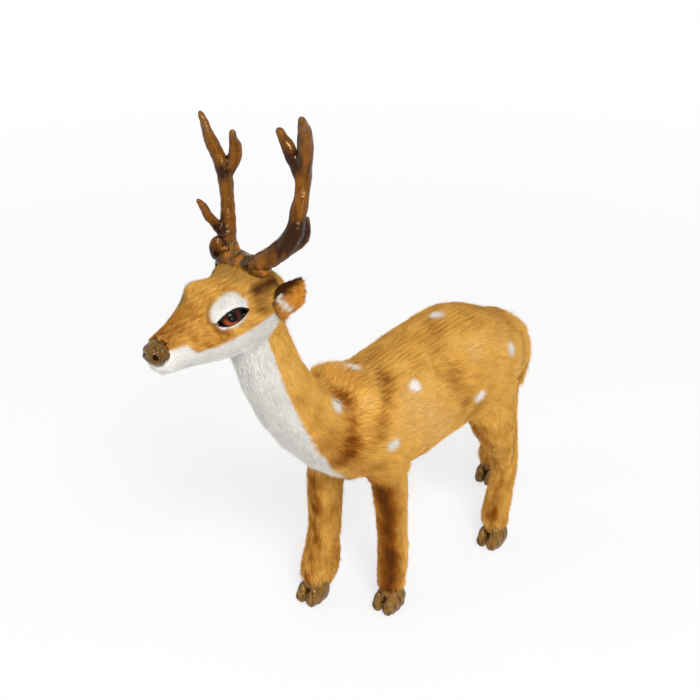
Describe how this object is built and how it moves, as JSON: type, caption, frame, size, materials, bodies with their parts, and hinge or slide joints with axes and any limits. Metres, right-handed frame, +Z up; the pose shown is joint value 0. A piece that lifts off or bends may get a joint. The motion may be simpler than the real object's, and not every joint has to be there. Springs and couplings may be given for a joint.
{
  "type": "deer figurine",
  "caption": "Free-standing stag figurine with a spotted tan fur coat, white throat and muzzle, glossy branched antlers, glassy eyes and cloven hooves.",
  "frame": {"origin": "on the ground, under the middle of the part's box", "axes": "+X to the animal's left, +Y towards its tail, +Z up"},
  "size_m": [0.0674, 0.3302, 0.3219],
  "materials": {
    "tan_fur": "short dense caramel fur with white spots",
    "white_fur": "short dense white fur",
    "antler_resin": "cast resin, stained brown and varnished",
    "hoof_plastic": "moulded dark brown plastic, glossy",
    "black_plastic": "glossy black plastic",
    "clear_plastic": "clear polished dome",
    "iris_paint": "painted disc, brown iris round a black pupil",
    "rigid_foam": "rigid foam, hidden under the fur",
    "steel_wire": "bare drawn steel wire, hidden in the cores"
  },
  "bodies": {
    "root": {"antler_bridge": "antler_resin", "antler_left": "antler_resin", "antler_right": "antler_resin", "ear_left": "tan_fur", "ear_lining_left": "white_fur", "ear_lining_right": "white_fur", "ear_right": "tan_fur", "eye_iris_left": "iris_paint", "eye_iris_right": "iris_paint", "eye_lens_left": "clear_plastic", "eye_lens_right": "clear_plastic", "eye_patch_left": "white_fur", "eye_patch_right": "white_fur", "eye_rim_left": "black_plastic", "eye_rim_right": "black_plastic", "head_core": "rigid_foam", "head_pelt": "tan_fur", "hoof_front_left": "hoof_plastic", "hoof_front_right": "hoof_plastic", "hoof_hind_left": "hoof_plastic", "hoof_hind_right": "hoof_plastic", "leg_core_front_left": "rigid_foam", "leg_core_front_right": "rigid_foam", "leg_core_hind_left": "rigid_foam", "leg_core_hind_right": "rigid_foam", "leg_pelt_front_left": "tan_fur", "leg_pelt_front_right": "tan_fur", "leg_pelt_hind_left": "tan_fur", "leg_pelt_hind_right": "tan_fur", "leg_wire_front_left": "steel_wire", "leg_wire_front_right": "steel_wire", "leg_wire_hind_left": "steel_wire", "leg_wire_hind_right": "steel_wire", "muzzle_pelt": "white_fur", "neck_core": "rigid_foam", "neck_pelt": "tan_fur", "neck_wire": "steel_wire", "nose_pad": "hoof_plastic", "tail_pelt": "tan_fur", "throat_pelt": "white_fur", "torso_core": "rigid_foam", "torso_pelt": "tan_fur"}
  },
  "joints": []
}
